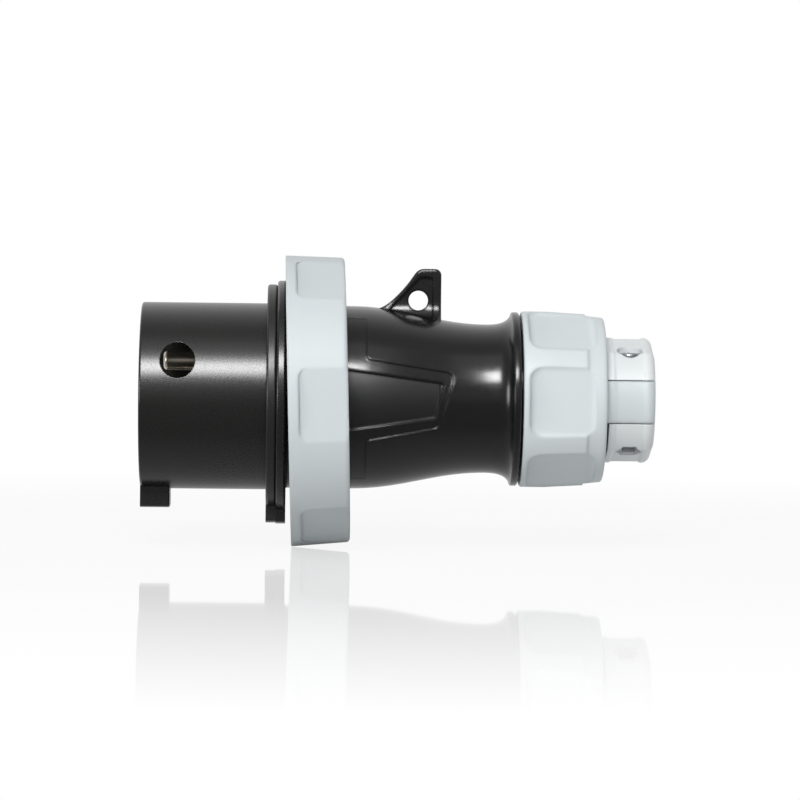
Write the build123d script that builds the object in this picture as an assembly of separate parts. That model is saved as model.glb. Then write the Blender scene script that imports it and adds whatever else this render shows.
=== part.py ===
from build123d import *
from math import cos, pi, radians, sin, sqrt, tan
import os

# A watertight pin and sleeve plug for a cable, in millimetres.
# X runs along the plug's axis, from the sleeve's front rim to the cable end. Z is up.
# The interlock hole is on the near side, -Y. Angles about X run from +Y towards +Z.

# Clearances and cutters
slip_fit = 0.1  # between pieces that are pushed together and stay
loose_fit = 0.3  # between pieces that turn or slide on each other
joint_line = 0.25  # hairline between pieces that are screwed together
overshoot = 2.0  # how far a cutter runs past what it cuts
edge_round = 0.8
fine_round = 0.4

# Sleeve
sleeve_radius = 29.0
sleeve_wall = 3.0
sleeve_reach = 39.0  # from the rim to the gasket
sleeve_depth = 40.0  # from the rim to the pin carrier's face
key_length = 9.2
key_height = 5.9
key_width = 13.0
window_x = 11.8
window_z = 11.6
window_radius = 5.4
window_chamfer = 0.35

# Gasket and flange, each with a lug at the bottom
gasket_thickness = 3.1
gasket_inset = 1.2  # the gasket's edge lies this far inside the flange's
gasket_lug_inset = 0.3
flange_thickness = 2.95
flange_height = 7.1  # how far the flange stands out from the sleeve
lug_height = 3.5
lug_width = 18.0

# Spigot at the sleeve's rear, and the seal round it
spigot_setback = 0.95  # from the carrier's rear face to the spigot's
spigot_wall = 3.1
spigot_radius = 26.0
seal_section = 1.7  # the seal ring's thickness, as squeezed
seal_setback = 5.0  # from the flange to the middle of the groove
seal_groove_width = 2.4

# Pins, carrier and wiring
pin_circle = 12.75
line_pin_angle = 120.0  # from the neutral pin
earth_pin_angle = 240.0
power_pin_radius = 3.0
earth_pin_radius = 4.0
power_pin_setback = 7.0  # rim to tip
earth_pin_setback = 3.5
pin_tip_round = 1.3
pin_root_step = 0.4  # the pin is thicker from the carrier's collar on
collar_height = 1.5
collar_wall = 2.2
carrier_lip = 3.0
carrier_length = 18.0
barrel_setback = 6.0  # carrier face to the front of the wiring barrel
barrel_wall = 1.9
power_wire_bore = 2.6
earth_wire_bore = 3.2
wire_bore_depth = 11.0
barrel_step = 0.6  # shoulder that the plate holds
barrel_tail = 14.0  # barrel behind the carrier
plate_thickness = 3.0
plate_radius = 22.4
terminal_screw_radius = 1.9
terminal_head_radius = 3.1
terminal_head_height = 2.2
terminal_screw_setback = 8.5  # carrier's rear to the terminal screw
wire_plate_length = 7.0
wire_plate_thickness = 0.9
wire_plate_drop = 0.55
centre_screw_radius = 1.6
centre_head_radius = 3.0
centre_head_height = 2.0
centre_screw_length = 10.0
body_screw_circle = 18.5
body_screw_angles = [60, 180, 300]
body_screw_radius = 1.6
body_head_radius = 2.9
body_head_height = 2.4
body_screw_grip = 12.0  # length in the housing's boss

# Rear housing
collar_radius = 28.45
collar_end = 65.5
taper_x = 86.7
taper_radius = 25.75
waist_x = 107.0
waist_radius = 23.15
nose_front = 114.7
flare_radius = 26.3
flare_slope = 2.4  # rise over run where the flare meets the nose
nose_radius = 27.1
nose_thickness = 2.4
nose_round = 0.7
housing_wall = 2.8
chamber_end = 97.0
throat_front = 103.0
throat_radius = 14.0
neck_radius = 21.5
neck_wall = 4.5
neck_length = 16.0
pocket_front = 106.0
boss_radius = 3.6
rib_width = 3.2

# The housing's sides are sunk in front, and a tongue of this lower level runs back on each
# side, with a bare panel in it. The step fades out towards the top and the bottom.
tongue_depth = 0.5
tongue_fade = 0.4  # the more, the sooner the step ends towards the top
tongue_half_front = 12.5
tongue_half_rear = 8.3
tongue_front = 69.6
tongue_top_x = 96.9
tongue_bottom_x = 92.0
tongue_round = 2.5
tongue_root_round = 1.2
panel_depth = 1.3
panel_half_front = 9.7
panel_half_rear = 5.3
panel_front = 61.0
panel_top_x = 93.4
panel_bottom_x = 90.6
panel_round = 0.9

# Eyelet on top
eye_toe_x = 73.0
eye_toe_z = 27.7
eye_bend_x = 78.1
eye_bend_z = 30.8
eye_slope_x = 84.1
eye_slope_z = 37.8
eye_top_front_x = 87.8
eye_rear_x = 92.9
eye_top_z = 40.3
eye_hole_x = 85.8
eye_hole_z = 30.4
eye_hole_radius = 3.05
eye_corner = 2.0
eye_toe_slope = 0.25
eye_foot_slope = 0.15
eye_base_z = 20.0  # the foot runs down to here, inside the housing's wall
eye_foot_z = 23.2
eye_flare_z = 30.5  # below this the sides flare out
eye_rim_half = 2.7
eye_rim_foot = 10.8
eye_web_half = 1.4
eye_web_foot = 9.2
eye_rim = 2.6
eye_rim_round = 0.6
eye_pocket_toe_x = 76.8
eye_pocket_top_x = 86.3
eye_pocket_round = 1.2
eye_foot_front_x = 81.5
eye_foot_rear_x = 89.8
eye_foot_slim = 5.0

# Locking ring, which hangs loose on the housing's collar
ring_draft = 1.05  # how much narrower the ring is at its rear
ring_length = 18.3
ring_centre_x = 54.83
ring_drop = 1.1
ring_lean = 1.7  # degrees, top towards the sleeve
ring_wall = 3.35
ring_room = 1.35  # between the flange's lug and the ring's narrowest bore
ring_web = 3.5
ring_rear_round = 1.2
ring_flat_count = 6
ring_flat_width = 22.6
ring_flat_setback = 3.3
ring_flat_round = 3.2
bayonet_lug_height = 1.8
bayonet_lug_length = 3.2
bayonet_lug_setback = 2.6
bayonet_lug_arc = 30.0
bayonet_lug_count = 2
ring_washer_thickness = 2.0

# Cable nut
nut_gap = 0.7
nut_radius = 27.4
nut_rear_radius = 26.7
nut_step_x = 137.6
nut_step_radius = 26.25
nut_end = 143.5
nut_end_radius = 25.6
nut_flat_count = 6
nut_flat_front = 119.6
nut_flat_rear = 140.5
nut_flat_distance = 24.8
nut_flat_rear_distance = 24.1
nut_flat_width = 22.8
nut_flat_corner = 4.2
nut_flat_scoop = 2.0
thread_room = 0.4

# Cable gland inside the nut
grommet_length = 28.0
grommet_bore = 7.5
grommet_room = 0.3
gland_washer_thickness = 1.7
gland_washer_bore = 9.0
cable_bore = 9.5

# Cable clamp on the nut's rear
clamp_length = 15.3
clamp_radius = 20.4
clamp_ridge = 19.5
clamp_slope = 18.0  # degrees
clamp_end_round = 2.8
clamp_band_front = 2.4  # from the nut's rear face
clamp_band_rear = 12.2
clamp_band_depth = 0.4
clamp_band_slope = 0.8  # length of the band's slanted ends
tongue_half = 6.5
cable_grip_radius = 7.0
saddle_gap_top = 0.4
saddle_gap_bottom = 1.0
clamp_screw_x = 151.2
clamp_screw_y = 10.6
clamp_screw_radius = 2.0
clamp_head_radius = 3.5
clamp_head_height = 2.4
clamp_cross_span = 4.6
clamp_head_seat = 12.6
clamp_recess_radius = 4.0
clamp_screw_end = -15.6
clamp_nut_across = 7.0
clamp_nut_thickness = 3.2
clamp_nut_seat = -10.8

# Places along X, and radii, that follow from the sizes
flange_front = sleeve_reach + gasket_thickness
flange_rear = flange_front + flange_thickness
sleeve_bore = sleeve_radius - sleeve_wall
spigot_bore = spigot_radius - spigot_wall
carrier_seat = sleeve_depth + carrier_lip
carrier_end = sleeve_depth + carrier_length
spigot_end = carrier_end - spigot_setback
plate_end = carrier_end + plate_thickness
nose_end = nose_front + nose_thickness
neck_end = nose_end + neck_length
pocket_radius = neck_radius - neck_wall
nut_front = nose_end + nut_gap
grommet_end = pocket_front + grommet_length
gland_washer_front = grommet_end + loose_fit
gland_washer_end = gland_washer_front + gland_washer_thickness
nut_shoulder = gland_washer_end + loose_fit
clamp_end = nut_end + clamp_length
pin_angles = {"neutral": 0.0, "line": line_pin_angle, "earth": earth_pin_angle}
pin_radius = {"neutral": power_pin_radius, "line": power_pin_radius, "earth": earth_pin_radius}
pin_setback = {"neutral": power_pin_setback, "line": power_pin_setback, "earth": earth_pin_setback}
wire_bore_radius = {"neutral": power_wire_bore, "line": power_wire_bore, "earth": earth_wire_bore}
flange_radius = sleeve_radius + flange_height
flange_lug_radius = flange_radius + lug_height
ring_rear_bore = flange_lug_radius + ring_room
ring_front_bore = ring_rear_bore + ring_draft
ring_rear_radius = ring_rear_bore + ring_wall
ring_front_radius = ring_front_bore + ring_wall
bayonet_lug_radius = ring_front_bore - bayonet_lug_height
gasket_radius = flange_radius - gasket_inset
gasket_lug_radius = flange_lug_radius - gasket_lug_inset


def turned(corners):
    """Spins a closed half-outline about X. Each corner is (x, radius, rounding)."""
    points = [(x, radius) for x, radius, _ in corners]
    rounds = [rounding for _, _, rounding in corners]
    return revolve(make_face(FilletPolyline(*points, radius=rounds, close=True)), Axis.X)


def tube(x0, x1, inner, outer, rounding=0.0):
    """A plain ring on the X axis, with its outer edges rounded."""
    return turned([(x0, inner, 0), (x0, outer, rounding), (x1, outer, rounding), (x1, inner, 0)])


def rod(x0, x1, radius):
    """A plain cylinder on the X axis."""
    return Pos((x0 + x1) / 2, 0, 0) * Rot(0, 90, 0) * Cylinder(radius, x1 - x0)


def along_x(outline, x0, x1):
    """Extrudes an outline drawn with Y across and Z up, from x0 to x1."""
    return extrude(Plane.YZ.offset(x0) * outline, amount=x1 - x0)


def along_y(outline, y0, y1):
    """Extrudes an outline drawn with X across and Z up, from y0 to y1."""
    return extrude(Plane.XZ.offset(-y0) * outline, amount=y0 - y1)


def screw_slot(head_radius, head_height, along=Axis.Y):
    """Cutter for the slot across a screw's head, to half the head's height."""
    length = 2 * head_radius + overshoot
    if along == Axis.X:
        return Box(length, head_height, edge_round)
    return Box(head_height, length, edge_round)


def about_x(angle, radius, shape):
    """Carries a shape that stands on the axis out to a radius at an angle, its +Y outwards."""
    return Rot(angle, 0, 0) * Pos(0, radius, 0) * shape


def bottom_lug(x0, x1, reach, root):
    """A lug that stands down from a flange, with rounded corners."""
    height = reach - root
    outline = Pos(0, -root - height / 2) * RectangleRounded(lug_width, height, edge_round * 2)
    return along_x(outline, x0, x1) & rod(x0, x1, reach)


def sleeve_piece():
    """The sleeve, its key, its flange and the spigot behind, moulded in one."""
    groove_front = flange_rear + seal_setback - seal_groove_width / 2
    groove_rear = groove_front + seal_groove_width
    groove_floor = spigot_radius - seal_section + slip_fit
    body = turned(
        [
            (0, sleeve_bore, fine_round),
            (0, sleeve_radius, edge_round),
            (flange_front, sleeve_radius, 0),
            (flange_front, flange_radius, edge_round),
            (flange_rear, flange_radius, edge_round),
            (flange_rear, spigot_radius, 0),
            (groove_front, spigot_radius, 0),
            (groove_front, groove_floor, 0),
            (groove_rear, groove_floor, 0),
            (groove_rear, spigot_radius, 0),
            (spigot_end, spigot_radius, fine_round),
            (spigot_end, spigot_bore, 0),
            (carrier_seat, spigot_bore, 0),
            (carrier_seat, sleeve_bore, 0),
        ]
    )
    lug = bottom_lug(flange_front, flange_rear, flange_lug_radius, sleeve_radius - sleeve_wall / 2)
    lug -= rod(flange_front - overshoot, flange_rear + overshoot, sleeve_radius)
    body = body + lug + sleeve_key() - interlock_window()
    return chamfer(window_mouth(body), window_chamfer)


def sleeve_key():
    """The key under the mouth, which lets the plug into its socket one way round."""
    reach = sleeve_radius + key_height
    root = sleeve_radius - sleeve_wall / 2
    outline = Pos(0, -(root + reach) / 2) * Rectangle(key_width, reach - root)
    block = along_x(outline, 0, key_length) & rod(0, key_length, reach)
    block -= rod(-overshoot, key_length + overshoot, root)
    return fillet(block.edges().filter_by(Axis.X).group_by(Axis.Z)[0], edge_round)


def interlock_window():
    """Cutter for the hole through the sleeve's near wall."""
    return along_y(Pos(window_x, window_z) * Circle(window_radius), -sleeve_radius - overshoot, 0)


def window_mouth(body):
    """The hole's edge on the outside of the sleeve."""
    near = body.edges().filter_by_position(Axis.Y, -sleeve_radius, 0)
    around = near.filter_by_position(Axis.X, window_x - window_radius / 2, window_x + window_radius / 2)
    return around.sort_by(Axis.Y)[0]


def gasket_piece():
    """The rubber ring against the flange, with the flange's lug."""
    body = tube(sleeve_reach, flange_front, sleeve_radius + slip_fit, gasket_radius, edge_round)
    lug = bottom_lug(sleeve_reach, flange_front, gasket_lug_radius, sleeve_radius + 2 * slip_fit)
    lug -= rod(sleeve_reach - overshoot, flange_front + overshoot, sleeve_radius + 2 * slip_fit)
    return body + lug


def seal_piece():
    """The O-ring between the spigot and the rear housing."""
    middle = spigot_radius + 2 * slip_fit - seal_section / 2
    section = Pos(flange_rear + seal_setback, middle) * Circle(seal_section / 2)
    return revolve(section, Axis.X)


def pin_piece(name):
    """One contact: the pin in front, its barrel for the wire behind."""
    shank = pin_radius[name]
    bore = wire_bore_radius[name]
    tail = bore + barrel_wall - barrel_step
    barrel_end = carrier_end + barrel_tail
    floor = barrel_end - wire_bore_depth
    body = turned(
        [
            (pin_setback[name], 0, 0),
            (pin_setback[name], shank, pin_tip_round),
            (sleeve_depth - collar_height, shank, 0),
            (sleeve_depth - collar_height, shank + pin_root_step, 0),
            (sleeve_depth + barrel_setback, shank + pin_root_step, 0),
            (sleeve_depth + barrel_setback, bore + barrel_wall, fine_round),
            (carrier_end, bore + barrel_wall, 0),
            (carrier_end, tail, 0),
            (barrel_end, tail, fine_round),
            (barrel_end, bore, 0),
            (floor, bore, 0),
            (floor - bore / sqrt(3), 0, 0),
        ]
    )
    screw_x = carrier_end + terminal_screw_setback
    hole = Pos(screw_x, tail, 0) * Rot(90, 0, 0) * Cylinder(terminal_screw_radius + slip_fit, tail)
    return about_x(pin_angles[name], pin_circle, body - hole)


def wire_plate_top(name):
    """How far from the barrel's axis the pressure plate's outer face lies."""
    return wire_bore_radius[name] - wire_plate_drop


def wire_plate(name):
    """The small plate between the terminal screw and the wire."""
    top = wire_plate_top(name)
    width = 2 * (sqrt(wire_bore_radius[name] ** 2 - top**2) - slip_fit)
    middle = top - wire_plate_thickness / 2
    block = Box(wire_plate_length, wire_plate_thickness, width)
    shape = Pos(carrier_end + terminal_screw_setback, middle, 0) * block
    return about_x(pin_angles[name], pin_circle, shape)


def terminal_screw(name):
    """The slotted screw that clamps a wire in a pin's barrel."""
    tail = wire_bore_radius[name] + barrel_wall - barrel_step
    tip = wire_plate_top(name)
    shank = Pos(0, (tip + tail) / 2, 0) * Rot(90, 0, 0) * Cylinder(terminal_screw_radius, tail - tip)
    head_y = tail + terminal_head_height / 2
    head = Pos(0, head_y, 0) * Rot(90, 0, 0) * Cylinder(terminal_head_radius, terminal_head_height)
    slot = screw_slot(terminal_head_radius, terminal_head_height, Axis.X)
    slot = Pos(0, tail + terminal_head_height, 0) * slot
    shape = Pos(carrier_end + terminal_screw_setback, 0, 0) * (shank + head - slot)
    return about_x(pin_angles[name], pin_circle, shape)


def carrier_piece():
    """The insulating block that holds the pins, with a raised collar round each."""
    body = turned(
        [
            (sleeve_depth, 0, 0),
            (sleeve_depth, sleeve_bore - slip_fit, fine_round),
            (carrier_seat, sleeve_bore - slip_fit, 0),
            (carrier_seat, spigot_bore - slip_fit, 0),
            (carrier_end, spigot_bore - slip_fit, fine_round),
            (carrier_end, 0, 0),
        ]
    )
    for name, angle in pin_angles.items():
        shank = pin_radius[name]
        collar = tube(sleeve_depth - collar_height, sleeve_depth, shank, shank + collar_wall, fine_round)
        body += about_x(angle, pin_circle, collar)
    for name, angle in pin_angles.items():
        barrel = wire_bore_radius[name] + barrel_wall + slip_fit
        front = rod(sleeve_depth - overshoot, carrier_end, pin_radius[name] + pin_root_step + slip_fit)
        rear = rod(sleeve_depth + barrel_setback, carrier_end + overshoot, barrel)
        body -= about_x(angle, pin_circle, front + rear)
    for angle in body_screw_angles:
        shank = rod(sleeve_depth, carrier_end + overshoot, body_screw_radius + slip_fit)
        head = rod(sleeve_depth - overshoot, sleeve_depth + body_head_height, body_head_radius + slip_fit)
        body -= about_x(angle, body_screw_circle, shank + head)
    centre = rod(plate_end - centre_screw_length, carrier_end + overshoot, centre_screw_radius + slip_fit)
    return body - centre


def carrier_plate_piece():
    """The plate behind the carrier, which keeps the pins' barrels in it."""
    body = rod(carrier_end, plate_end, plate_radius)
    for name, angle in pin_angles.items():
        tail = wire_bore_radius[name] + barrel_wall - barrel_step + slip_fit
        body -= about_x(angle, pin_circle, rod(carrier_end - overshoot, plate_end + overshoot, tail))
    for angle in body_screw_angles:
        hole = rod(carrier_end - overshoot, plate_end + overshoot, body_screw_radius + slip_fit)
        body -= about_x(angle, body_screw_circle, hole)
    return body - rod(carrier_end - overshoot, plate_end + overshoot, centre_screw_radius + slip_fit)


def plate_screw_piece():
    """The screw in the middle of the plate."""
    shank = rod(plate_end - centre_screw_length, plate_end, centre_screw_radius)
    head = tube(plate_end, plate_end + centre_head_height, 0, centre_head_radius, fine_round)
    slot = Pos(plate_end + centre_head_height, 0, 0) * screw_slot(centre_head_radius, centre_head_height)
    return shank + head - slot


def body_screw(angle):
    """One of the long screws from the carrier's face into the housing's bosses."""
    seat = sleeve_depth + body_head_height
    shank = rod(seat, plate_end + body_screw_grip, body_screw_radius)
    head = rod(sleeve_depth, seat, body_head_radius)
    slot = Pos(sleeve_depth, 0, 0) * screw_slot(body_head_radius, body_head_height)
    return about_x(angle, body_screw_circle, shank + head - slot)


def housing_form(shrink=0.0):
    """The outside of the rear housing as a solid of revolution, all radii less by shrink."""
    collar = collar_radius - shrink
    waist = waist_radius - shrink
    front = Line((flange_rear, 0), (flange_rear, collar))
    barrel = Line((flange_rear, collar), (collar_end, collar))
    middle = (taper_x, taper_radius - shrink)
    taper = Spline((collar_end, collar), middle, (waist_x, waist), tangents=[(1, 0), (1, 0)])
    edge = nose_radius - shrink
    flare_end = (nose_front, flare_radius - shrink)
    flare = Spline((waist_x, waist), flare_end, tangents=[(1, 0), (1, flare_slope)])
    rim = [flare_end, (nose_front, edge), (nose_end, edge), (nose_end, 0)]
    nose = FilletPolyline(*rim, radius=[nose_round, nose_round])
    base = Line((nose_end, 0), (flange_rear, 0))
    return revolve(make_face(Curve() + [front, barrel, taper, flare, nose, base]), Axis.X)


def housing_hollow():
    """The room inside the rear housing: spigot socket, wiring chamber, throat and pocket."""
    socket = spigot_radius + 2 * slip_fit
    socket_end = spigot_end + slip_fit
    chamber = collar_radius - housing_wall
    chamber_rear = waist_radius - housing_wall / 2
    return turned(
        [
            (flange_rear - overshoot, 0, 0),
            (flange_rear - overshoot, socket, 0),
            (socket_end, socket, 0),
            (socket_end, chamber, 0),
            (collar_end, chamber, 0),
            (chamber_end, chamber_rear, 0),
            (throat_front, throat_radius, 0),
            (pocket_front, throat_radius, 0),
            (pocket_front, pocket_radius, 0),
            (neck_end + overshoot, pocket_radius, 0),
            (neck_end + overshoot, 0, 0),
        ]
    )


def screw_boss(angle):
    """A boss inside the rear housing for a body screw, with a rib to the wall."""
    end = plate_end + body_screw_grip + fine_round
    boss = rod(plate_end, end, boss_radius)
    room = collar_radius - housing_wall / 2 - body_screw_circle
    rib = Pos((plate_end + end) / 2, room / 2, 0) * Box(end - plate_end, room, rib_width)
    return about_x(angle, body_screw_circle, boss + rib)


def eyelet_side():
    """The eyelet seen from the side: a rising curve in front, a flat top, an upright rear."""
    toe = (eye_toe_x, eye_toe_z)
    top = (eye_top_front_x, eye_top_z)
    bends = [(eye_bend_x, eye_bend_z), (eye_slope_x, eye_slope_z)]
    rise = Spline(toe, *bends, top, tangents=[(1, eye_toe_slope), (1, 0)])
    rest = Polyline(top, (eye_rear_x, eye_top_z), (eye_rear_x, eye_base_z), (eye_toe_x, eye_base_z), toe)
    side = make_face(Curve() + [rise, rest])
    corner = side.vertices().group_by(Axis.X)[-1].group_by(Axis.Y)[-1]
    return fillet(corner, eye_corner)


def eyelet_front(half, foot):
    """The eyelet seen along the axis: slim above, flaring out to a foot on the housing."""
    top = eye_top_z + overshoot
    edges = [Line((-half, top), (half, top)), Line((-foot, eye_base_z), (foot, eye_base_z))]
    for hand in (-1, 1):
        edges.append(Line((hand * half, top), (hand * half, eye_flare_z)))
        flare_ends = [(hand * half, eye_flare_z), (hand * foot, eye_foot_z)]
        edges.append(Spline(*flare_ends, tangents=[(0, -1), (hand, -eye_foot_slope)]))
        edges.append(Line((hand * foot, eye_foot_z), (hand * foot, eye_base_z)))
    return along_x(make_face(edges), eye_toe_x - overshoot, eye_rear_x + overshoot)


def eyelet_plan():
    """The eyelet's foot seen from above: a leaf that widens from the toe."""
    corners = [
        (eye_toe_x - overshoot, 0),
        (eye_foot_front_x, -eye_rim_foot),
        (eye_foot_rear_x, -eye_rim_foot),
        (eye_rear_x, -eye_foot_slim),
        (eye_rear_x, eye_foot_slim),
        (eye_foot_rear_x, eye_rim_foot),
        (eye_foot_front_x, eye_rim_foot),
    ]
    rounds = [0, eye_corner, eye_corner, eye_corner, eye_corner, eye_corner, eye_corner]
    outline = make_face(FilletPolyline(*corners, radius=rounds, close=True))
    return Pos(0, 0, eye_base_z) * extrude(outline, amount=eye_top_z)


def eyelet_pocket():
    """The outline of the sunk web, inside the eyelet's rim."""
    top = eye_top_z - eye_rim
    rear = eye_rear_x - eye_rim
    corners = [
        (eye_pocket_toe_x, eye_base_z),
        (eye_pocket_toe_x, eye_toe_z),
        (eye_pocket_top_x, top),
        (rear, top),
        (rear, eye_base_z),
    ]
    rounds = [0, 0, eye_pocket_round, eye_pocket_round, 0]
    return make_face(FilletPolyline(*corners, radius=rounds, close=True))


def eyelet_fin():
    """The eyelet's outer form: slim above and flared below, its upper edges rounded."""
    reach = eye_rim_foot + overshoot
    fin = along_y(eyelet_side(), -reach, reach) & eyelet_front(eye_rim_half, eye_rim_foot) & eyelet_plan()
    upper = fin.edges().filter_by_position(Axis.Z, eye_flare_z + fine_round, eye_top_z)
    return fillet(upper.filter_by(lambda edge: edge.bounding_box().size.Y < slip_fit), eye_rim_round)


def eyelet():
    """The eyelet: a flared fin with a rim round a sunk web, and its hole."""
    reach = eye_rim_foot + overshoot
    body = eyelet_fin()
    body -= along_y(eyelet_pocket(), -reach, reach) - eyelet_front(eye_web_half, eye_web_foot)
    hole = Pos(eye_hole_x, 0, eye_hole_z) * Rot(90, 0, 0) * Cylinder(eye_hole_radius, reach * 2)
    return body - hole


def panel_outline():
    """The side panel seen from the side: it tapers to a slanted rear end."""
    corners = [
        (panel_front, -panel_half_front),
        (panel_bottom_x, -panel_half_rear),
        (panel_top_x, panel_half_rear),
        (panel_front, panel_half_front),
    ]
    return make_face(FilletPolyline(*corners, radius=[0, panel_round, panel_round, 0], close=True))


def tongue_outline():
    """The sunk front of one side with its tongue, seen from the side."""
    reach = collar_radius + overshoot
    corners = [
        (panel_front, -reach),
        (tongue_front, -reach),
        (tongue_front, -tongue_half_front),
        (tongue_bottom_x, -tongue_half_rear),
        (tongue_top_x, tongue_half_rear),
        (tongue_front, tongue_half_front),
        (tongue_front, reach),
        (panel_front, reach),
    ]
    rounds = [0, 0, tongue_root_round, tongue_round, tongue_round, tongue_root_round, 0, 0]
    return make_face(FilletPolyline(*corners, radius=rounds, close=True))


def side_cut(outline, floor, hand):
    """Cutter that sinks an outline into one side of the housing, down to a floor."""
    reach = collar_radius + overshoot
    return along_y(outline, hand * throat_radius, hand * reach) - floor


def tongue_floor(hand):
    """The lower level of one side: the housing's own form, wider and set back sideways."""
    return Pos(0, -hand * (tongue_depth + tongue_fade), 0) * housing_form(-tongue_fade)


def rear_housing_piece():
    """The rear housing: collar, stepped side tongues, eyelet, waist, nose and threaded neck."""
    body = housing_form() + rod(nose_end, neck_end, neck_radius)
    for hand in (-1, 1):
        body -= side_cut(tongue_outline(), tongue_floor(hand), hand)
    body += eyelet()
    body -= housing_hollow()
    for angle in body_screw_angles:
        body += screw_boss(angle)
        hole_end = plate_end + body_screw_grip + slip_fit
        hole = rod(plate_end - overshoot, hole_end, body_screw_radius + slip_fit)
        body -= about_x(angle, body_screw_circle, hole)
    for hand in (-1, 1):
        body -= side_cut(panel_outline(), housing_form(panel_depth), hand)
    return body


def ring_place():
    """Where the loose locking ring hangs: a little low, and leaning towards the sleeve."""
    return Pos(ring_centre_x, 0, -ring_drop) * Rot(0, -ring_lean, 0)


def ring_web_bore():
    """The ring's inner hole, which clears the housing's collar where the ring hangs."""
    web_centre = ring_length / 2 - ring_web / 2
    return collar_radius + ring_drop - web_centre * sin(radians(ring_lean)) + loose_fit + slip_fit


def ring_flat(angle):
    """Cutter for one grip flat, open to the ring's rear edge and rounded in front."""
    draft = degrees_of(ring_front_radius - ring_rear_radius, ring_length)
    length = ring_length - ring_flat_setback + overshoot
    half = ring_flat_width / 2
    distance = sqrt(ring_front_radius**2 - half**2) - ring_flat_setback * tan(radians(draft))
    outline = FilletPolyline(
        (0, -half - slip_fit),
        (length, -half - slip_fit),
        (length, half + slip_fit),
        (0, half + slip_fit),
        radius=[ring_flat_round, 0, 0, ring_flat_round],
        close=True,
    )
    block = extrude(make_face(outline), amount=ring_wall)
    start = Pos(-ring_length / 2 + ring_flat_setback, 0, distance) * Rot(0, draft, 0) * block
    return Rot(angle, 0, 0) * start


def degrees_of(rise, run):
    """The slope of a rise over a run, in degrees."""
    return (Vector(run, rise) - Vector(0, 0)).get_angle(Vector(1, 0))


def bayonet_lug(angle):
    """One of the lugs inside the ring that grip the socket's collar."""
    front = -ring_length / 2 + bayonet_lug_setback
    root = ring_front_bore + fine_round
    section = Polyline(
        (front, root),
        (front, bayonet_lug_radius + fine_round),
        (front + fine_round, bayonet_lug_radius),
        (front + bayonet_lug_length, bayonet_lug_radius),
        (front + bayonet_lug_length, root),
        (front, root),
    )
    sector = revolve(make_face(section), Axis.X, revolution_arc=bayonet_lug_arc)
    return Rot(angle, 0, 0) * sector


def locking_ring_piece():
    """The grey ring: drafted outside, six grip flats, a web at the rear and lugs inside."""
    half = ring_length / 2
    body = turned(
        [
            (-half, ring_front_bore, fine_round),
            (-half, ring_front_radius, fine_round),
            (half, ring_rear_radius, ring_rear_round),
            (half, ring_web_bore(), fine_round),
            (half - ring_web, ring_web_bore(), 0),
            (half - ring_web, ring_rear_bore, edge_round),
        ]
    )
    for step in range(bayonet_lug_count):
        body += bayonet_lug(step * 360 / bayonet_lug_count)
    for step in range(ring_flat_count):
        body -= ring_flat(90 + step * 360 / ring_flat_count)
    return ring_place() * body


def ring_washer_piece():
    """The slip washer in the ring, between its web and the sleeve's flange."""
    rear = ring_length / 2 - ring_web - slip_fit
    front = rear - ring_washer_thickness
    washer = tube(front, rear, ring_web_bore(), ring_rear_bore - edge_round - slip_fit)
    return ring_place() * washer


def nut_flat(angle):
    """Cutter for one of the nut's flats, with round corners and scooped ends."""
    length = nut_flat_rear - nut_flat_front
    slope = degrees_of(nut_flat_distance - nut_flat_rear_distance, length)
    outline = RectangleRounded(length, nut_flat_width, nut_flat_corner)
    block = extrude(outline, amount=nut_radius - nut_flat_distance + overshoot)
    block = fillet(block.faces().sort_by(Axis.Z)[0].edges(), nut_flat_scoop)
    middle = (nut_flat_distance + nut_flat_rear_distance) / 2
    place = Pos((nut_flat_front + nut_flat_rear) / 2, 0, middle) * Rot(0, slope, 0)
    return Rot(angle, 0, 0) * place * block


def nut_form():
    """The nut's turned outside and its bore."""
    return turned(
        [
            (nut_front, neck_radius + thread_room, fine_round),
            (nut_front, nut_radius, edge_round),
            (nut_flat_front + length_share(nut_flat_front, nut_step_x), nut_radius, 0),
            (nut_step_x, nut_rear_radius, 0),
            (nut_step_x, nut_step_radius, 0),
            (nut_end, nut_end_radius, edge_round),
            (nut_end, cable_bore, fine_round),
            (nut_shoulder, cable_bore, 0),
            (nut_shoulder, neck_radius + thread_room, 0),
        ]
    )


def length_share(start, end):
    """A third of the way from start to end."""
    return (end - start) / 3


def clamp_outline(inset=0.0):
    """The clamp seen along the axis: round sides, cut by a shallow roof above and below."""
    reach = clamp_radius + overshoot
    slope = tan(radians(clamp_slope))
    ridge = clamp_ridge - inset
    eave = ridge - reach * slope
    top = [(-reach, eave), (0, ridge), (reach, eave)]
    bottom = [(reach, -eave), (0, -ridge), (-reach, -eave)]
    roof = make_face(Polyline(*top, *bottom, close=True))
    return Circle(clamp_radius - inset) & roof


def clamp_body():
    """The whole clamp before it is parted: rounded rear end, shallow band round it."""
    body = along_x(clamp_outline(), nut_end, clamp_end)
    body = fillet(body.faces().sort_by(Axis.X)[-1].edges(), clamp_end_round)
    front = nut_end + clamp_band_front
    rear = nut_end + clamp_band_rear
    floor = clamp_band_depth
    stations = [(front, 0), (front + clamp_band_slope, floor), (rear - clamp_band_slope, floor), (rear, 0)]
    waist = loft([Plane.YZ.offset(x) * clamp_outline(inset) for x, inset in stations], ruled=True)
    band = along_x(clamp_outline(-overshoot), front, rear) - waist
    bore = rod(nut_end - overshoot, clamp_end + overshoot, cable_grip_radius)
    return body - band - bore


def upright(x, y, z0, z1, radius):
    """A vertical cylinder between two heights."""
    return Pos(x, y, (z0 + z1) / 2) * Cylinder(radius, z1 - z0)


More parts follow.
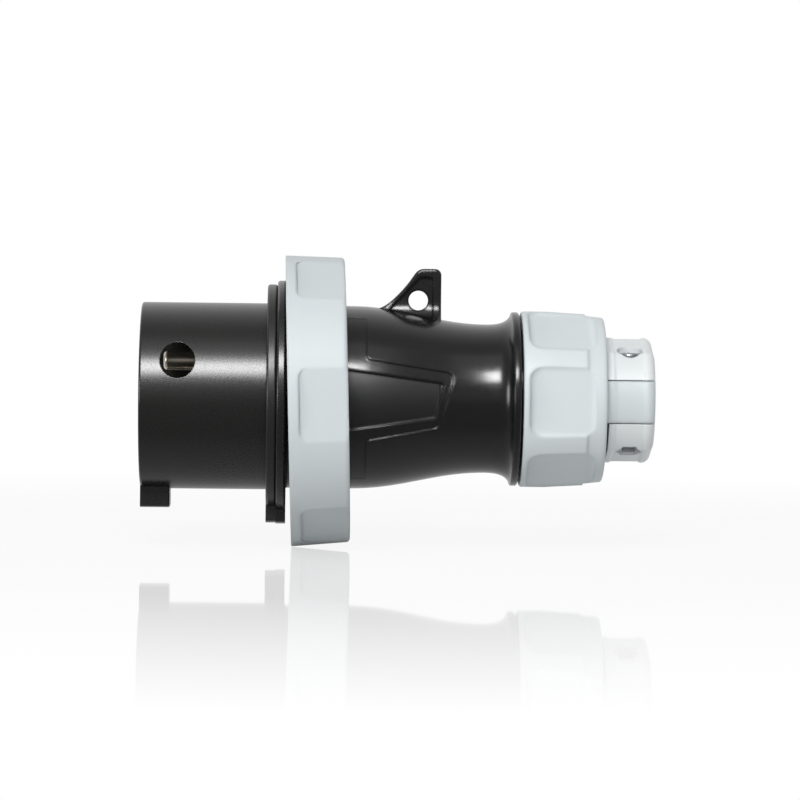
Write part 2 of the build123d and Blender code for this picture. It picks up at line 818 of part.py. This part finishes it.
def clamp_slice(z0, z1, front=0.0):
    """A box that takes a level slice out of the clamp, from a gap behind the nut."""
    reach = 2 * clamp_radius + overshoot
    length = clamp_length + overshoot - front
    return Pos(nut_end + front + length / 2, 0, (z0 + z1) / 2) * Box(length, reach, z1 - z0)


def nut_piece():
    """The cable nut with the two clamp tongues that are moulded on it."""
    body = nut_form()
    for step in range(nut_flat_count):
        body -= nut_flat(90 + step * 360 / nut_flat_count)
    tongues = clamp_body() & clamp_slice(-tongue_half, tongue_half)
    for hand in (-1, 1):
        tongues -= upright(
            clamp_screw_x, hand * clamp_screw_y, -clamp_radius, clamp_radius, clamp_screw_radius + loose_fit
        )
    return body + tongues


def saddle_top_piece():
    """The upper half of the clamp, with the recesses for the screw heads."""
    body = clamp_body() & clamp_slice(tongue_half + joint_line, clamp_radius, saddle_gap_top)
    for hand in (-1, 1):
        y = hand * clamp_screw_y
        body -= upright(clamp_screw_x, y, 0, clamp_radius, clamp_screw_radius + slip_fit)
        body -= upright(clamp_screw_x, y, clamp_head_seat, clamp_radius, clamp_recess_radius)
    return body


def saddle_bottom_piece():
    """The lower half of the clamp, with pockets for the nuts."""
    body = clamp_body() & clamp_slice(-clamp_radius, -tongue_half - joint_line, saddle_gap_bottom)
    for hand in (-1, 1):
        y = hand * clamp_screw_y
        body -= upright(clamp_screw_x, y, -clamp_radius, 0, clamp_screw_radius + loose_fit)
        body -= nut_prism(y, -clamp_radius, clamp_nut_seat, slip_fit)
    return body


def nut_prism(y, z0, z1, room=0.0):
    """A six-sided prism the size of a clamp nut, upright at a clamp screw."""
    outline = RegularPolygon((clamp_nut_across / 2 + room) / cos(pi / 6), 6)
    return Pos(clamp_screw_x, y, z0) * extrude(outline, amount=z1 - z0)


def clamp_screw(y):
    """A clamp screw with a cross recess in its head."""
    shank = upright(clamp_screw_x, y, clamp_screw_end, clamp_head_seat, clamp_screw_radius)
    top = clamp_head_seat + clamp_head_height
    head = upright(clamp_screw_x, y, clamp_head_seat, top, clamp_head_radius)
    head = fillet(head.faces().sort_by(Axis.Z)[-1].edges(), edge_round)
    bar = Box(clamp_cross_span, edge_round, clamp_head_height)
    cross = bar + Rot(0, 0, 90) * bar
    return shank + head - Pos(clamp_screw_x, y, top) * cross


def clamp_nut(y):
    """A clamp nut in its pocket, clear of the screw by the loose fit."""
    body = nut_prism(y, clamp_nut_seat - clamp_nut_thickness, clamp_nut_seat)
    return body - upright(clamp_screw_x, y, -clamp_radius, 0, clamp_screw_radius + loose_fit)


def grommet_piece():
    """The rubber grommet that the nut squeezes on to the cable."""
    return tube(pocket_front, grommet_end, grommet_bore, pocket_radius - grommet_room, edge_round)


def gland_washer_piece():
    """The slip washer between the grommet and the nut."""
    return tube(gland_washer_front, gland_washer_end, gland_washer_bore, pocket_radius - grommet_room)


def group(shapes):
    """Several like solids as one shape."""
    return Compound(children=list(shapes))


def plug():
    """Every piece of the plug, by name."""
    screw_sides = (-clamp_screw_y, clamp_screw_y)
    return {
        "sleeve": sleeve_piece(),
        "flange_gasket": gasket_piece(),
        "body_seal": seal_piece(),
        "pin_carrier": carrier_piece(),
        "carrier_plate": carrier_plate_piece(),
        "plate_screw": plate_screw_piece(),
        "line_pin": pin_piece("line"),
        "neutral_pin": pin_piece("neutral"),
        "earth_pin": pin_piece("earth"),
        "terminal_screws": group(terminal_screw(name) for name in pin_angles),
        "wire_plates": group(wire_plate(name) for name in pin_angles),
        "body_screws": group(body_screw(angle) for angle in body_screw_angles),
        "rear_housing": rear_housing_piece(),
        "locking_ring": locking_ring_piece(),
        "ring_washer": ring_washer_piece(),
        "cable_nut": nut_piece(),
        "gland_grommet": grommet_piece(),
        "gland_washer": gland_washer_piece(),
        "clamp_saddle_top": saddle_top_piece(),
        "clamp_saddle_bottom": saddle_bottom_piece(),
        "clamp_screws": group(clamp_screw(y) for y in screw_sides),
        "clamp_nuts": group(clamp_nut(y) for y in screw_sides),
    }


os.makedirs("parts", exist_ok=True)
for piece_name, shape in plug().items():
    export_step(shape, f"parts/{piece_name}.step")
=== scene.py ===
from math import cos, pi, radians, sin

import bpy
from mathutils import Matrix, Vector


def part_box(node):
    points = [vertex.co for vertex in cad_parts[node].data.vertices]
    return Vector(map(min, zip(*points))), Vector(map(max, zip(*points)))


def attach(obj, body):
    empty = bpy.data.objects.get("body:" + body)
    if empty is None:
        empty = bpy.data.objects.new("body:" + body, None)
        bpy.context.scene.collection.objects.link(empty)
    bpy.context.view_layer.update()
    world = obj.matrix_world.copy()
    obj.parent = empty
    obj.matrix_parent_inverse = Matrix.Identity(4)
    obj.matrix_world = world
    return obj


# The looks of a watertight pin and sleeve plug, in metres, in the plug's own frame.
# X runs along the axis from the sleeve's rim to the cable end, Z is up, the near side is -Y.

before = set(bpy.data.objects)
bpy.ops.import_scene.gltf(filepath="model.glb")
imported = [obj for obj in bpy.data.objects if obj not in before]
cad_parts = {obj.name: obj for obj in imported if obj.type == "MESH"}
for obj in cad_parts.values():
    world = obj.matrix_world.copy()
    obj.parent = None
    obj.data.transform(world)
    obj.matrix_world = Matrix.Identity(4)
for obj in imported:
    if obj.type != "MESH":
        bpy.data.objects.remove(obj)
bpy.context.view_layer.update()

mm = 0.001

# Camera: a long lens that looks at the plug from the side
camera_distance = 1.215
camera_lens = 175.35  # millimetres, as the sensor's width is
camera_sensor = 36.0
aim = Vector((0.0805, 0.0, -0.0007))
camera_side = -0.031  # how far the camera stands towards the sleeve
camera_height = 0.0403
camera_roll = radians(0.68)

# Lamps: azimuth and elevation in degrees, width and height in metres, radiance
lamp_distance = 0.95
core_direction = (-8.0, 36.0)
core_size = (0.40, 0.25)
core_radiance = 19.4
veil_direction = (-7.0, 50.0)  # a wide, weak sheet round the core
veil_size = (0.75, 0.80)
veil_radiance = 0.35
edge_direction = (-62.0, 0.0)  # a low strip on the left, for the housing's flare
edge_size = (0.25, 0.50)
edge_radiance = 7.5

# Room: even for matt surfaces, dark in front and light behind where gloss reflects it
room_even = 0.38
room_front = 0.30
room_back = 0.90
room_turn = (0.05, 0.75)  # how far back the room turns from dark to light

# Floor, just under the lowest part of the locking ring
floor_gap = 0.2 * mm
floor_size = 6.0
floor_colour = 0.90
floor_bounce = 0.72  # what it throws back at the plug
floor_gloss_shade_front = 0.16  # painted reflection: the glow that the plug's gloss sees of it, dark in front as painted shade, light behind
floor_gloss_glow_back = 0.90
floor_turn = (-0.06, 0.10)  # from where to where along Y it changes, so that it stays dark under the plug as a painted shadow
floor_shadow = 0.08  # how much of the floor's white the plug's shadow may take
floor_gloss = 0.31
floor_roughness = 0.03
floor_fade = (0.20, 0.46)  # from the plug's middle, where shadow and gloss start to fade and end

# Tone and grain: tone follows a wide noise, roughness and height follow one fine noise
moulding_tone = 9.0 * mm
metal_tone = 3.0 * mm
moulding_detail = 3.0
grain_span = (0.25, 0.75)  # the part of the noise that is stretched to full range
metal_edge = 0.1 * mm
edge_samples = 6

# Side panels of the housing, which have a duller grain than what is round them
panel_front = 61.0 * mm
panel_rear = 92.0 * mm
panel_half_front = 9.5 * mm
panel_slope = 0.136  # how much the half height falls per length
panel_blend = 0.4 * mm
panel_dulling = 0.24

# Thread on the housing's neck
neck_radius = 21.5 * mm
neck_front = 117.1 * mm
thread_pitch = 3.0 * mm
thread_height = 0.32 * mm
thread_half = 0.9 * mm  # half its width at the foot, which is sunk as deep as the ridge stands
thread_start = 3.0 * mm  # from the neck's front
thread_turns = 3.6
thread_steps = 96  # in one turn
thread_crease = 20.0  # degrees, past which an edge stays sharp


def linear(code):
    """An sRGB hex colour as the linear values that the shader takes."""
    def channel(part):
        value = int(part, 16) / 255
        return value / 12.92 if value <= 0.04045 else ((value + 0.055) / 1.055) ** 2.4
    return tuple(channel(code[i:i + 2]) for i in (1, 3, 5)) + (1.0,)


def grey(level):
    """A grey of a linear level."""
    return (level, level, level, 1.0)


def add_node(tree, kind, settings=(), links=()):
    """Adds a shader node, sets its sockets and fields, and links its inputs."""
    node = tree.nodes.new(kind)
    for name, value in dict(settings).items():
        if name in node.inputs:
            node.inputs[name].default_value = value
        else:
            setattr(node, name, value)
    for name, source in dict(links).items():
        tree.links.new(source, node.inputs[name])
    return node


def new_material(name):
    """An empty material, its node tree and its output."""
    material = bpy.data.materials.new(name)
    material.use_nodes = True
    tree = material.node_tree
    tree.nodes.clear()
    return material, tree, add_node(tree, "ShaderNodeOutputMaterial")


def add_tone(tree, place, colours, size):
    """Two close colours in soft clouds of one size."""
    cloud = add_node(tree, "ShaderNodeTexNoise", {"Scale": 1 / size}, {"Vector": place})
    tones = {"Color1": linear(colours[0]), "Color2": linear(colours[1])}
    return add_node(tree, "ShaderNodeMixRGB", tones, {"Fac": cloud.outputs["Fac"]}).outputs["Color"]


def add_grain(tree, place, pattern, roughness, depth, edge):
    """Roughness and normal from one fine noise, on softly broken edges."""
    fine = add_node(tree, "ShaderNodeTexNoise", pattern, {"Vector": place}).outputs["Fac"]
    span = {"From Min": grain_span[0], "From Max": grain_span[1]}
    ends = {"To Min": roughness[0], "To Max": roughness[1]}
    rough = add_node(tree, "ShaderNodeMapRange", {**span, **ends}, {"Value": fine})
    broken = add_node(tree, "ShaderNodeBevel", {"samples": edge_samples, "Radius": edge})
    links = {"Height": fine, "Normal": broken.outputs["Normal"]}
    relief = add_node(tree, "ShaderNodeBump", {"Distance": depth}, links)
    return rough.outputs["Result"], relief.outputs["Normal"]


def dull_panels(tree, place, rough):
    """More roughness where a point lies on one of the housing's side panels."""
    parts = add_node(tree, "ShaderNodeSeparateXYZ", {}, {"Vector": place}).outputs
    height = add_node(tree, "ShaderNodeMath", {"operation": "ABSOLUTE"}, {0: parts["Z"]})

    # The panel narrows to the rear: its slant is added to the height, and one limit does for both
    span = {"From Min": panel_front, "From Max": panel_rear}
    fall = {"To Min": 0.0, "To Max": panel_slope * (panel_rear - panel_front)}
    slant = add_node(tree, "ShaderNodeMapRange", {**span, **fall}, {"Value": parts["X"]})
    links = {0: height.outputs["Value"], 1: slant.outputs["Result"]}
    level = add_node(tree, "ShaderNodeMath", {"operation": "ADD"}, links).outputs["Value"]
    span = {"From Min": panel_half_front - panel_blend, "From Max": panel_half_front}
    ends = {"To Min": panel_dulling, "To Max": 0.0}
    between = add_node(tree, "ShaderNodeMapRange", {**span, **ends}, {"Value": level})

    span = {"From Min": panel_rear - panel_blend, "From Max": panel_rear}
    ends = {"To Min": 1.0, "To Max": 0.0}
    before = add_node(tree, "ShaderNodeMapRange", {**span, **ends}, {"Value": parts["X"]})
    links = {0: between.outputs["Result"], 1: before.outputs["Result"], 2: rough}
    return add_node(tree, "ShaderNodeMath", {"operation": "MULTIPLY_ADD"}, links).outputs["Value"]


def moulded(name, colours, roughness, grain, depth, ior, edge, panels=False):
    """Moulded plastic or rubber: a faint change of tone, the mould's grain and rounded edges."""
    material, tree, output = new_material(name)
    place = add_node(tree, "ShaderNodeTexCoord").outputs["Object"]
    tone = add_tone(tree, place, colours, moulding_tone)
    pattern = {"Scale": 1 / grain, "Detail": moulding_detail}
    rough, normal = add_grain(tree, place, pattern, roughness, depth, edge)
    if panels:
        rough = dull_panels(tree, place, rough)
    links = {"Base Color": tone, "Roughness": rough, "Normal": normal}
    surface = add_node(tree, "ShaderNodeBsdfPrincipled", {"IOR": ior}, links)
    tree.links.new(surface.outputs["BSDF"], output.inputs["Surface"])
    return material


def metal(name, colours, roughness, grain, depth, stretch=(1.0, 1.0, 1.0)):
    """Turned or plated metal: a faint change of tone, and fine marks that may run one way."""
    material, tree, output = new_material(name)
    place = add_node(tree, "ShaderNodeTexCoord").outputs["Object"]
    tone = add_tone(tree, place, colours, metal_tone)
    along = add_node(tree, "ShaderNodeMapping", {"Scale": stretch}, {"Vector": place}).outputs["Vector"]
    rough, normal = add_grain(tree, along, {"Scale": 1 / grain}, roughness, depth, metal_edge)
    links = {"Base Color": tone, "Roughness": rough, "Normal": normal}
    surface = add_node(tree, "ShaderNodeBsdfPrincipled", {"Metallic": 1.0}, links)
    tree.links.new(surface.outputs["BSDF"], output.inputs["Surface"])
    return material


def make_materials():
    """Every finish of the plug, by name."""
    # A real grain is finer than a point of the picture, so each is drawn several times as coarse
    return {
        # Glass-filled polyamide from a spark-eroded mould: a broad, finely sparkling highlight
        "eroded_polyamide": moulded(
            "eroded_polyamide", colours=("#121211", "#151514"), roughness=(0.23, 0.31),
            grain=0.35 * mm, depth=0.003 * mm, ior=1.65, edge=0.3 * mm,
        ),
        # Polyamide from a polished mould: deep black with clear reflections, wavy over 1.6 mm
        "polished_polyamide": moulded(
            "polished_polyamide", colours=("#0f0f10", "#121212"), roughness=(0.18, 0.24),
            grain=1.6 * mm, depth=0.004 * mm, ior=1.62, edge=1.2 * mm, panels=True,
        ),
        # Light grey polybutylene terephthalate, moulded: cool grey, smooth, soft gloss
        "grey_polyester": moulded(
            "grey_polyester", colours=("#c0c7ca", "#c3cacc"), roughness=(0.46, 0.56),
            grain=0.9 * mm, depth=0.004 * mm, ior=1.52, edge=1.6 * mm,
        ),
        # The same plastic in the cable nut's moulding: glossier, and painted a little paler, a lighter
        # copy of the ring's grey that stands in for the light on the nut
        "polyester_painted_lighter": moulded(
            "polyester_painted_lighter", colours=("#c9d0d3", "#ccd3d5"), roughness=(0.36, 0.46),
            grain=0.9 * mm, depth=0.004 * mm, ior=1.52, edge=1.8 * mm,
        ),
        # The same plastic in the cable clamp's mouldings: the glossiest of the three, and painted the
        # palest, a lit copy of the ring's grey that stands in for the light on the clamp
        "polyester_painted_palest": moulded(
            "polyester_painted_palest", colours=("#dadfe0", "#dde1e2"), roughness=(0.32, 0.40),
            grain=0.9 * mm, depth=0.004 * mm, ior=1.52, edge=0.5 * mm,
        ),
        # Nitrile rubber from a smooth mould: black with a soft sheen
        "nitrile_rubber": moulded(
            "nitrile_rubber", colours=("#191919", "#1d1d1d"), roughness=(0.30, 0.40),
            grain=0.7 * mm, depth=0.008 * mm, ior=1.62, edge=0.3 * mm,
        ),
        # Polyamide from a matt mould: black without clear reflections
        "matt_polyamide": moulded(
            "matt_polyamide", colours=("#232425", "#272829"), roughness=(0.47, 0.63),
            grain=0.6 * mm, depth=0.010 * mm, ior=1.53, edge=0.2 * mm,
        ),
        # Nickel-plated brass, turned: warm silver with faint rings round the axis
        "nickel_plated_brass": metal(
            "nickel_plated_brass", colours=("#dcd6c8", "#d2cab9"), roughness=(0.26, 0.38),
            grain=0.5 * mm, depth=0.003 * mm, stretch=(6.0, 1.0, 1.0),
        ),
        # Zinc-plated steel: cool, slightly dull
        "zinc_plated_steel": metal(
            "zinc_plated_steel", colours=("#c4c6c8", "#b6b9bc"), roughness=(0.28, 0.40),
            grain=0.6 * mm, depth=0.004 * mm,
        ),
        # Dark passivated steel: grey, slightly dull
        "passivated_steel": metal(
            "passivated_steel", colours=("#7d7f82", "#6d6f72"), roughness=(0.32, 0.44),
            grain=0.6 * mm, depth=0.004 * mm,
        ),
    }


finish_of = {
    "sleeve": "eroded_polyamide",
    "flange_gasket": "nitrile_rubber",
    "body_seal": "nitrile_rubber",
    "pin_carrier": "matt_polyamide",
    "carrier_plate": "matt_polyamide",
    "plate_screw": "zinc_plated_steel",
    "line_pin": "nickel_plated_brass",
    "neutral_pin": "nickel_plated_brass",
    "earth_pin": "nickel_plated_brass",
    "terminal_screws": "zinc_plated_steel",
    "wire_plates": "zinc_plated_steel",
    "body_screws": "zinc_plated_steel",
    "rear_housing": "polished_polyamide",
    "locking_ring": "grey_polyester",
    "ring_washer": "matt_polyamide",
    # The nut and the clamp take paler copies of the ring's grey: painted light
    "cable_nut": "polyester_painted_lighter",
    "gland_grommet": "nitrile_rubber",
    "gland_washer": "matt_polyamide",
    "clamp_saddle_top": "polyester_painted_palest",
    "clamp_saddle_bottom": "polyester_painted_palest",
    "clamp_screws": "zinc_plated_steel",
    "clamp_nuts": "passivated_steel",
}


def dress(materials):
    """Gives each solid of the frame its finish."""
    for node, finish in finish_of.items():
        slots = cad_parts[node].data.materials
        slots.clear()
        slots.append(materials[finish])


def make_neck_thread(material):
    """The thread on the housing's neck, one ridge wound round it, for the cable nut."""
    bpy.ops.object.select_all(action="DESELECT")
    reach = thread_height * 4 / 3  # from the middle of an even triangle to its corners
    middle = (neck_front + thread_start, 0, neck_radius + thread_height - reach)
    upright = (pi / 2, 0, 0)
    bpy.ops.mesh.primitive_circle_add(vertices=3, radius=reach, location=middle, rotation=upright)
    thread = bpy.context.object
    thread.name = "neck_thread"
    bpy.ops.object.transform_apply(location=True, rotation=True, scale=True)

    # The ridge's section: the triangle widened along the axis
    bpy.ops.object.mode_set(mode="EDIT")
    bpy.ops.mesh.select_all(action="SELECT")
    widening = thread_half / (reach * sin(pi / 3))
    bpy.ops.transform.resize(value=(widening, 1, 1), center_override=middle)
    bpy.ops.object.mode_set(mode="OBJECT")

    screw = thread.modifiers.new("thread", "SCREW")
    screw.axis = "X"
    screw.angle = 2 * pi * thread_turns
    screw.screw_offset = thread_pitch * thread_turns
    screw.steps = round(thread_steps * thread_turns)
    screw.render_steps = screw.steps
    bpy.ops.object.modifier_apply(modifier=screw.name)

    # Its two ends are closed
    bpy.ops.object.mode_set(mode="EDIT")
    bpy.ops.mesh.select_all(action="SELECT")
    bpy.ops.mesh.fill_holes(sides=3)
    bpy.ops.mesh.normals_make_consistent(inside=False)
    bpy.ops.object.mode_set(mode="OBJECT")
    bpy.ops.object.shade_smooth_by_angle(angle=radians(thread_crease))
    thread.data.materials.append(material)
    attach(thread, "plug_body")


def make_camera():
    """The camera at the photograph's angle, turned a little about its own axis."""
    bpy.ops.object.camera_add()
    camera = bpy.context.object
    camera.name = "side_camera"
    camera.data.lens = camera_lens
    camera.data.sensor_width = camera_sensor
    place = aim + Vector((camera_side, 0, camera_height))
    place.y = -camera_distance
    turn = (aim - place).to_track_quat("-Z", "Y").to_matrix().to_4x4()
    camera.matrix_world = Matrix.Translation(place) @ turn @ Matrix.Rotation(camera_roll, 4, "Z")
    bpy.context.scene.camera = camera


def make_lamp(name, direction, size, radiance):
    """A soft box that looks at the plug's middle from an azimuth and elevation."""
    azimuth, elevation = (radians(angle) for angle in direction)
    away = Vector((sin(azimuth) * cos(elevation), -cos(azimuth) * cos(elevation), sin(elevation)))
    bpy.ops.object.light_add(type="AREA")
    lamp = bpy.context.object
    lamp.name = name
    lamp.data.shape = "RECTANGLE"
    lamp.data.size = size[0]
    lamp.data.size_y = size[1]
    lamp.data.energy = radiance * pi * size[0] * size[1]
    lamp.location = Vector((aim.x, 0, 0)) + away * lamp_distance
    lamp.rotation_mode = "QUATERNION"
    lamp.rotation_quaternion = (-away).to_track_quat("-Z", "Y")


def make_world():
    """A white background, and a soft room that is dark in front where gloss reflects it."""
    world = bpy.data.worlds.new("studio")
    bpy.context.scene.world = world
    world.use_nodes = True
    tree = world.node_tree
    tree.nodes.clear()
    direction = add_node(tree, "ShaderNodeTexCoord").outputs["Generated"]
    parts = add_node(tree, "ShaderNodeSeparateXYZ", {}, {"Vector": direction}).outputs
    span = {"From Min": room_turn[0], "From Max": room_turn[1]}
    ends = {"To Min": room_front, "To Max": room_back}
    room = add_node(tree, "ShaderNodeMapRange", {**span, **ends}, {"Value": parts["Y"]})
    rays = add_node(tree, "ShaderNodeLightPath").outputs
    links = {"Fac": rays["Is Glossy Ray"], "Color2": room.outputs["Result"]}
    shade = add_node(tree, "ShaderNodeMixRGB", {"Color1": grey(room_even)}, links)
    links = {0: rays["Is Camera Ray"], 1: rays["Is Transmission Ray"]}
    seen = add_node(tree, "ShaderNodeMath", {"operation": "MAXIMUM"}, links)
    links = {"Fac": seen.outputs["Value"], "Color1": shade.outputs["Color"]}
    white = add_node(tree, "ShaderNodeMixRGB", {"Color2": grey(1.0)}, links)
    light = add_node(tree, "ShaderNodeBackground", {}, {"Color": white.outputs["Color"]})
    add_node(tree, "ShaderNodeOutputWorld", {}, {"Surface": light.outputs["Background"]})


def white_acrylic():
    """Polished white acrylic sheet: white, with a faint clear reflection of what stands on it, and a
    painted glow for the plug's gloss, dark in front and under it as painted shade, light behind.
    """
    material, tree, output = new_material("white_acrylic")
    place = add_node(tree, "ShaderNodeTexCoord").outputs["Object"]
    rays = add_node(tree, "ShaderNodeLightPath").outputs
    centred = add_node(tree, "ShaderNodeMapping", {"Location": -aim}, {"Vector": place})
    links = {"Vector": centred.outputs["Vector"]}
    reach = add_node(tree, "ShaderNodeVectorMath", {"operation": "LENGTH"}, links).outputs["Value"]
    fade = {"From Min": floor_fade[0], "From Max": floor_fade[1]}

    # The white that the camera sees, and the painted reflection that the plug's gloss sees: a glow,
    # dark in front and under the plug as painted shade and shadow, light behind
    parts = add_node(tree, "ShaderNodeSeparateXYZ", {}, {"Vector": place}).outputs
    span = {"From Min": floor_turn[0], "From Max": floor_turn[1]}
    ends = {"To Min": floor_gloss_shade_front, "To Max": floor_gloss_glow_back}
    painted_gloss_glow = add_node(tree, "ShaderNodeMapRange", {**span, **ends}, {"Value": parts["Y"]})
    links = {"Fac": rays["Is Camera Ray"], "Color1": painted_gloss_glow.outputs["Result"]}
    tone = add_node(tree, "ShaderNodeMixRGB", {"Color2": grey(1.0)}, links)
    glow = add_node(tree, "ShaderNodeEmission", {}, {"Color": tone.outputs["Color"]})

    # The matt sheet, which takes the plug's shadow and throws light up at it
    colours = {"Color1": grey(floor_bounce), "Color2": grey(floor_colour)}
    bounce = add_node(tree, "ShaderNodeMixRGB", colours, {"Fac": rays["Is Camera Ray"]})
    matt = add_node(tree, "ShaderNodeBsdfDiffuse", {}, {"Color": bounce.outputs["Color"]})
    ends = {"To Min": 1 - floor_shadow, "To Max": 1.0}
    kept = add_node(tree, "ShaderNodeMapRange", {**fade, **ends}, {"Value": reach})
    links = {0: rays["Is Camera Ray"], 1: kept.outputs["Result"], 2: rays["Is Glossy Ray"]}
    lit = add_node(tree, "ShaderNodeMath", {"operation": "MULTIPLY_ADD"}, links)
    links = {"Fac": lit.outputs["Value"], 1: matt.outputs["BSDF"], 2: glow.outputs["Emission"]}
    sheet = add_node(tree, "ShaderNodeMixShader", {}, links)

    # The clear reflection, for the camera alone
    polish = {"Color": grey(1.0), "Roughness": floor_roughness}
    gloss = add_node(tree, "ShaderNodeBsdfGlossy", polish)
    ends = {"To Min": floor_gloss, "To Max": 0.0}
    strength = add_node(tree, "ShaderNodeMapRange", {**fade, **ends}, {"Value": reach})
    links = {0: strength.outputs["Result"], 1: rays["Is Camera Ray"]}
    share = add_node(tree, "ShaderNodeMath", {"operation": "MULTIPLY"}, links)
    links = {"Fac": share.outputs["Value"], 1: sheet.outputs["Shader"], 2: gloss.outputs["BSDF"]}
    both = add_node(tree, "ShaderNodeMixShader", {}, links)
    tree.links.new(both.outputs["Shader"], output.inputs["Surface"])
    return material


def make_floor():
    """The floor, a hair under the lowest part of the plug."""
    bottom = min(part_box(node)[0].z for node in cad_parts)
    bpy.ops.object.select_all(action="DESELECT")
    bpy.ops.mesh.primitive_plane_add(size=floor_size)
    floor = bpy.context.object
    floor.name = "floor"
    bpy.ops.object.mode_set(mode="EDIT")
    bpy.ops.transform.translate(value=(aim.x, 0, bottom - floor_gap))
    bpy.ops.object.mode_set(mode="OBJECT")
    floor.data.materials.append(white_acrylic())


materials = make_materials()
dress(materials)
make_neck_thread(materials["polished_polyamide"])
make_camera()
make_world()
make_floor()
make_lamp("key_core", core_direction, core_size, core_radiance)
make_lamp("key_veil", veil_direction, veil_size, veil_radiance)
make_lamp("edge_strip", edge_direction, edge_size, edge_radiance)

bpy.context.scene.view_settings.view_transform = "Standard"
